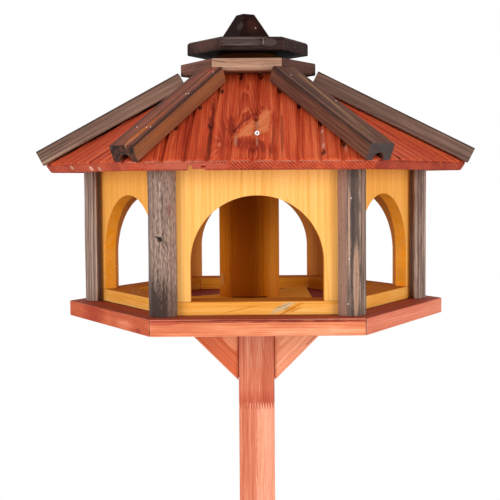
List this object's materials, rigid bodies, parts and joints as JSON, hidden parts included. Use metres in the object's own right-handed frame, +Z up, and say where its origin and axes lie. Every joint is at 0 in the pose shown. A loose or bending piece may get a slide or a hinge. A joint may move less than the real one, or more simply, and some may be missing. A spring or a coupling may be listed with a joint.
{
  "type": "bird feeder on a stand",
  "caption": "Hexagonal wooden bird feeder with arched walls, grooved hipped roof and a central feed silo under a lift-off cap, on a post with a cross foot.",
  "frame": {"origin": "on the ground, in the middle of the cross foot, on the post's axis", "axes": "+Z up along the post; -Y the front, facing one flat side of the house; +X to the right as seen from the front"},
  "size_m": [0.6, 0.6, 1.4482],
  "materials": {
    "deck_wood": "planed pine under a thin salmon red stain",
    "honey_wood": "planed pine under a clear honey yellow stain",
    "silo_wood": "honey stained wood, satin",
    "brown_wood": "rough brown stain, worn along the edges",
    "roof_wood": "rough grooved pine under a brick red stain",
    "ring_wood": "brown stain over pale wood",
    "cap_wood": "dark brown stain",
    "stand_wood": "planed pine under a thin salmon red stain"
  },
  "bodies": {
    "feeder": {"deck_frame": "deck_wood", "deck_panel": "deck_wood", "rim_frame": "honey_wood", "wall_front": "honey_wood", "wall_front_right": "honey_wood", "wall_back_right": "honey_wood", "wall_back": "honey_wood", "wall_back_left": "honey_wood", "wall_front_left": "honey_wood", "post_front_right": "brown_wood", "post_right": "brown_wood", "post_back_right": "brown_wood", "post_back_left": "brown_wood", "post_left": "brown_wood", "post_front_left": "brown_wood", "roof_front": "roof_wood", "roof_front_right": "roof_wood", "roof_back_right": "roof_wood", "roof_back": "roof_wood", "roof_back_left": "roof_wood", "roof_front_left": "roof_wood", "batten_front_right": "brown_wood", "batten_right": "brown_wood", "batten_back_right": "brown_wood", "batten_back_left": "brown_wood", "batten_left": "brown_wood", "batten_front_left": "brown_wood", "crown_ring": "ring_wood", "silo_seat": "silo_wood", "silo_tube": "silo_wood", "stand_post": "stand_wood", "bracket_left": "stand_wood", "bracket_right": "stand_wood", "foot_beam_long": "stand_wood", "foot_beam_cross": "stand_wood", "foot_brackets_long": "stand_wood", "foot_brackets_cross": "stand_wood"},
    "cap": {"cap_plate": "cap_wood", "cap_plug": "cap_wood", "finial": "cap_wood"}
  },
  "joints": [
    {"name": "cap_lift", "type": "slide", "parent": "feeder", "child": "cap", "axis": [0, 0, 1], "range_m": [0, 0.08]}
  ]
}
